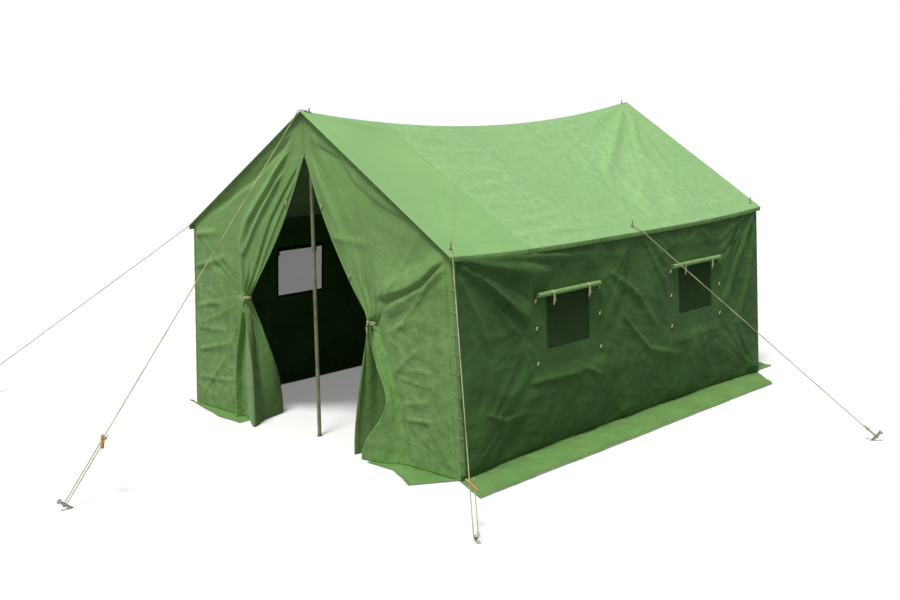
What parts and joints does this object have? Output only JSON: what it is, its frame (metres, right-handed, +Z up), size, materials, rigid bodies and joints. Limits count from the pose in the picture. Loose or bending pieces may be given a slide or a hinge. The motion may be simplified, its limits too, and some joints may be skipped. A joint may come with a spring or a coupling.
{
  "type": "field tent",
  "caption": "Canvas ridge tent on upright poles, with a hollow ridge, tied-back door leaves, screened windows with roll-up flaps, mud flaps and guy ropes with wooden runners.",
  "frame": {"origin": "on the ground under the middle of the tent's own footprint, mud flaps included and guy ropes left out", "axes": "+Z up, +Y from the open front gable to the rear gable, +X to the right wall seen from the front"},
  "size_m": [6.9351, 6.6896, 2.5724],
  "materials": {
    "sunlit_canvas": "woven canvas",
    "wall_canvas": "woven canvas",
    "ground_canvas": "woven canvas",
    "window_net": "fine net",
    "tape": "woven tape",
    "painted_steel": "satin paint",
    "zinc_steel": "zinc plated",
    "brass": "pressed",
    "rope": "laid rope",
    "wood": "bare hardwood"
  },
  "bodies": {
    "tent": {"roof": "sunlit_canvas", "front_wall_left": "sunlit_canvas", "front_wall_right": "sunlit_canvas", "wall_left": "wall_canvas", "wall_right": "wall_canvas", "wall_rear": "wall_canvas", "mud_flap_left": "ground_canvas", "mud_flap_right": "ground_canvas", "mud_flap_rear": "ground_canvas", "mud_flap_front_left": "ground_canvas", "mud_flap_front_right": "ground_canvas", "window_screen_right_front": "window_net", "window_flap_sheet_right_front": "wall_canvas", "window_screen_right_rear": "window_net", "window_flap_sheet_right_rear": "wall_canvas", "window_screen_left_front": "window_net", "window_flap_sheet_left_front": "wall_canvas", "window_screen_left_rear": "window_net", "window_flap_sheet_left_rear": "wall_canvas", "ridge_pole_front_lower": "painted_steel", "ridge_pole_front_upper": "painted_steel", "ridge_eyelet_front": "brass", "ridge_pole_rear_lower": "painted_steel", "ridge_pole_rear_upper": "painted_steel", "ridge_eyelet_rear": "brass", "side_pole_right_front": "painted_steel", "side_eyelet_right_front": "brass", "side_pole_right_middle": "painted_steel", "side_eyelet_right_middle": "brass", "side_pole_right_rear": "painted_steel", "side_eyelet_right_rear": "brass", "side_pole_left_front": "painted_steel", "side_eyelet_left_front": "brass", "side_pole_left_middle": "painted_steel", "side_eyelet_left_middle": "brass", "side_pole_left_rear": "painted_steel", "side_eyelet_left_rear": "brass", "guy_rope_front_ridge": "rope", "peg_front_ridge": "zinc_steel", "guy_rope_front_right": "rope", "peg_front_right": "zinc_steel", "guy_rope_front_left": "rope", "peg_front_left": "zinc_steel", "guy_rope_middle_right": "rope", "peg_middle_right": "zinc_steel"},
    "door_left": {"door_leaf_left": "sunlit_canvas", "door_tie_left": "tape"},
    "door_right": {"door_leaf_right": "sunlit_canvas", "door_tie_right": "tape"},
    "flap_right_front": {"window_flap_roll_right_front": "wall_canvas"},
    "flap_right_rear": {"window_flap_roll_right_rear": "wall_canvas"},
    "flap_left_front": {"window_flap_roll_left_front": "wall_canvas"},
    "flap_left_rear": {"window_flap_roll_left_rear": "wall_canvas"},
    "rope_runner_front_ridge": {"runner_front_ridge": "wood", "runner_front_ridge_knot": "rope"},
    "rope_runner_front_right": {"runner_front_right": "wood", "runner_front_right_knot": "rope"},
    "rope_runner_front_left": {"runner_front_left": "wood", "runner_front_left_knot": "rope"}
  },
  "joints": [
    {"name": "door_left_draw", "type": "slide", "parent": "tent", "child": "door_left", "axis": [1, 0, 0], "range_m": [0, 0.54]},
    {"name": "door_right_draw", "type": "slide", "parent": "tent", "child": "door_right", "axis": [-1, 0, 0], "range_m": [0, 0.52]},
    {"name": "flap_right_front_drop", "type": "slide", "parent": "tent", "child": "flap_right_front", "axis": [0.0562, 0, -0.9984], "range_m": [0, 0.48], "deforming": ["window_flap_sheet_right_front"]},
    {"name": "flap_right_rear_drop", "type": "slide", "parent": "tent", "child": "flap_right_rear", "axis": [0.0562, 0, -0.9984], "range_m": [0, 0.48], "deforming": ["window_flap_sheet_right_rear"]},
    {"name": "flap_left_front_drop", "type": "slide", "parent": "tent", "child": "flap_left_front", "axis": [-0.0562, 0, -0.9984], "range_m": [0, 0.48], "deforming": ["window_flap_sheet_left_front"]},
    {"name": "flap_left_rear_drop", "type": "slide", "parent": "tent", "child": "flap_left_rear", "axis": [-0.0562, 0, -0.9984], "range_m": [0, 0.48], "deforming": ["window_flap_sheet_left_rear"]},
    {"name": "runner_front_ridge_slide", "type": "slide", "parent": "tent", "child": "rope_runner_front_ridge", "axis": [-0.0046, -0.638, -0.77], "range_m": [0, 0.32]},
    {"name": "runner_front_right_slide", "type": "slide", "parent": "tent", "child": "rope_runner_front_right", "axis": [0.4398, -0.3859, -0.811], "range_m": [0, 0.165]},
    {"name": "runner_front_left_slide", "type": "slide", "parent": "tent", "child": "rope_runner_front_left", "axis": [-0.7094, -0.4294, -0.5589], "range_m": [0, 0.18]}
  ]
}
